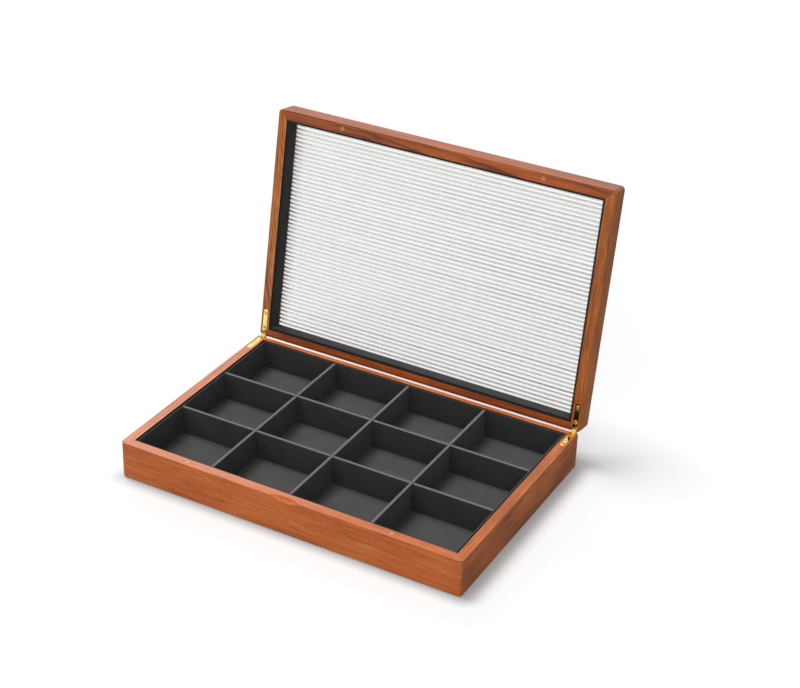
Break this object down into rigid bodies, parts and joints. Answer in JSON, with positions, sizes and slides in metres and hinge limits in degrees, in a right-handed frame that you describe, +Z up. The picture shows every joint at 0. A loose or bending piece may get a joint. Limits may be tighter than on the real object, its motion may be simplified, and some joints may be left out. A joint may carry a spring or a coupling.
{
  "type": "bangle display box",
  "caption": "Shallow wooden display box with a lined, divided tray and a hinged framed lid with a see-through reeded panel, shown open.",
  "frame": {"origin": "centre of the flat underside", "axes": "+X to the right, +Y from the front to the hinged side, +Z up"},
  "size_m": [0.36, 0.3023, 0.2752],
  "materials": {
    "base_wood": "satin varnish",
    "lid_wood": "satin varnish",
    "bottom_cloth": "short flock",
    "tray_cloth": "matt",
    "lid_lining": "matt",
    "clear_acrylic": "clear, reeded on the inside",
    "magnet_steel": "plain",
    "polished_brass": "polished"
  },
  "bodies": {
    "base": {"base_front_wall": "base_wood", "base_rear_wall": "base_wood", "base_left_wall": "base_wood", "base_right_wall": "base_wood", "base_bottom_board": "bottom_cloth", "tray_floor": "tray_cloth", "tray_front_liner": "tray_cloth", "tray_rear_liner": "tray_cloth", "tray_left_liner": "tray_cloth", "tray_right_liner": "tray_cloth", "left_long_divider": "tray_cloth", "middle_long_divider": "tray_cloth", "right_long_divider": "tray_cloth", "front_cross_divider": "tray_cloth", "rear_cross_divider": "tray_cloth", "base_left_magnet": "magnet_steel", "base_right_magnet": "magnet_steel", "left_hinge_base_leaf": "polished_brass", "left_hinge_pin": "polished_brass", "left_base_front_screw": "polished_brass", "left_base_rear_screw": "polished_brass", "right_hinge_base_leaf": "polished_brass", "right_hinge_pin": "polished_brass", "right_base_front_screw": "polished_brass", "right_base_rear_screw": "polished_brass"},
    "lid": {"lid_front_rail": "lid_wood", "lid_rear_rail": "lid_wood", "lid_left_rail": "lid_wood", "lid_right_rail": "lid_wood", "lid_reeded_panel": "clear_acrylic", "lid_front_lining": "lid_lining", "lid_rear_lining": "lid_lining", "lid_left_lining": "lid_lining", "lid_right_lining": "lid_lining", "lid_left_magnet": "magnet_steel", "lid_right_magnet": "magnet_steel", "left_hinge_lid_leaf": "polished_brass", "left_lid_front_screw": "polished_brass", "left_lid_rear_screw": "polished_brass", "right_hinge_lid_leaf": "polished_brass", "right_lid_front_screw": "polished_brass", "right_lid_rear_screw": "polished_brass"}
  },
  "joints": [
    {"name": "lid_hinge", "type": "hinge", "parent": "base", "child": "lid", "pos_m": [0, 0.119, 0.0386], "axis": [1, 0, 0], "range_deg": [0, 99.6]}
  ]
}
